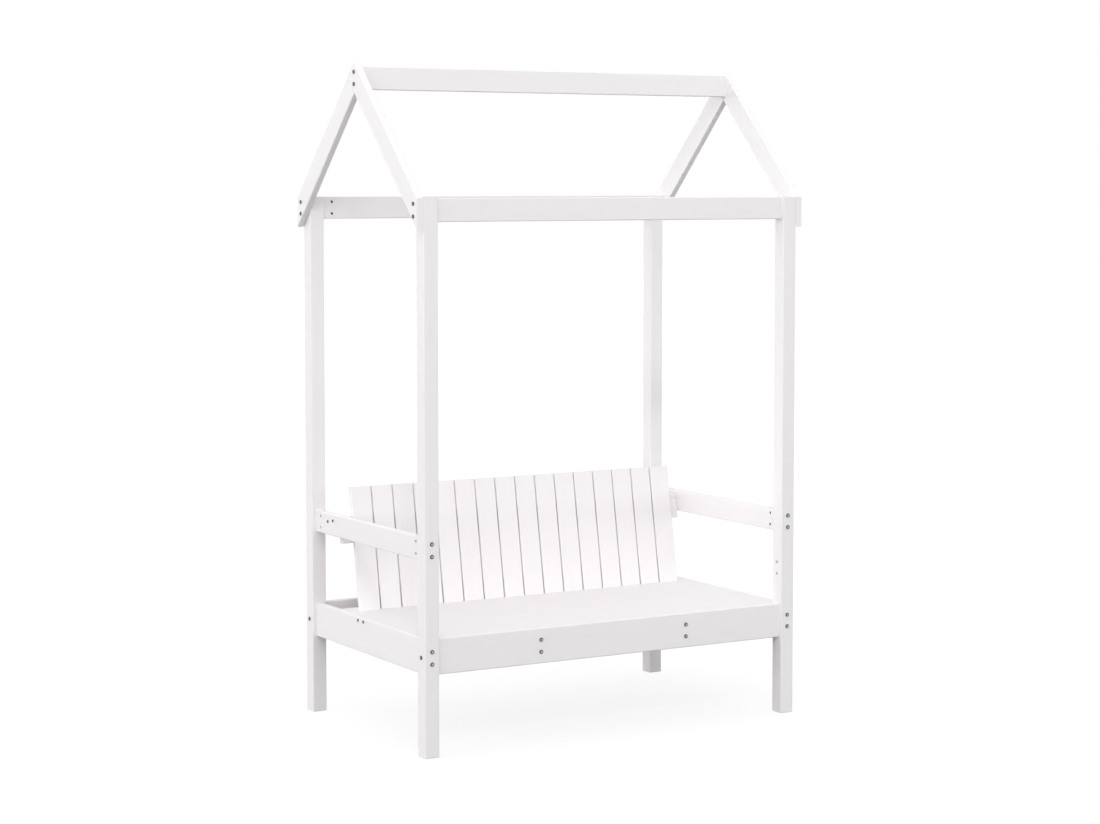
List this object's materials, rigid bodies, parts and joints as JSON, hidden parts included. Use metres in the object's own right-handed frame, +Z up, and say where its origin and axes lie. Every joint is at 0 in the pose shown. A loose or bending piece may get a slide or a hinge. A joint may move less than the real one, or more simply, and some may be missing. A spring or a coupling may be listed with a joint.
{
  "type": "arbour seat",
  "caption": "White painted timber arbour seat: a slatted garden bench with arm rails between corner posts, under an open pitched roof frame of rafters and beams.",
  "frame": {"origin": "on the ground, in the middle of the frame's footprint", "axes": "+X from left to right as seen by someone facing the seat, +Y from front to back, +Z up"},
  "size_m": [1.3006, 0.7846, 1.945],
  "materials": {
    "painted_timber": "satin white paint",
    "bolts": "dark zinc",
    "screws": "dark zinc",
    "barrel_nuts": "dull zinc"
  },
  "bodies": {
    "root": {"arm_rail_bolts": "bolts", "arm_rail_left": "painted_timber", "arm_rail_right": "painted_timber", "back_rail_ledge": "painted_timber", "back_rail_lower": "painted_timber", "back_rail_screws": "screws", "back_rail_upper": "painted_timber", "back_slat_01": "painted_timber", "back_slat_02": "painted_timber", "back_slat_03": "painted_timber", "back_slat_04": "painted_timber", "back_slat_05": "painted_timber", "back_slat_06": "painted_timber", "back_slat_07": "painted_timber", "back_slat_08": "painted_timber", "back_slat_09": "painted_timber", "back_slat_10": "painted_timber", "back_slat_11": "painted_timber", "back_slat_12": "painted_timber", "back_slat_13": "painted_timber", "back_slat_14": "painted_timber", "back_slat_15": "painted_timber", "back_slat_16": "painted_timber", "barrel_nuts": "barrel_nuts", "eaves_beam_front": "painted_timber", "eaves_beam_rear": "painted_timber", "joist_bolts": "bolts", "long_seat_beam_bolts": "bolts", "post_front_left": "painted_timber", "post_front_right": "painted_timber", "post_rear_left": "painted_timber", "post_rear_right": "painted_timber", "rafter_foot_bolts": "bolts", "rafter_front_left": "painted_timber", "rafter_front_right": "painted_timber", "rafter_rear_left": "painted_timber", "rafter_rear_right": "painted_timber", "ridge_beam": "painted_timber", "ridge_bolts": "bolts", "seat_beam_front": "painted_timber", "seat_beam_left": "painted_timber", "seat_beam_rear": "painted_timber", "seat_beam_right": "painted_timber", "seat_board_1": "painted_timber", "seat_board_2": "painted_timber", "seat_board_3": "painted_timber", "seat_board_4": "painted_timber", "seat_board_5": "painted_timber", "seat_board_screws": "screws", "seat_joist_left": "painted_timber", "seat_joist_right": "painted_timber", "side_seat_beam_bolts": "bolts"}
  },
  "joints": []
}
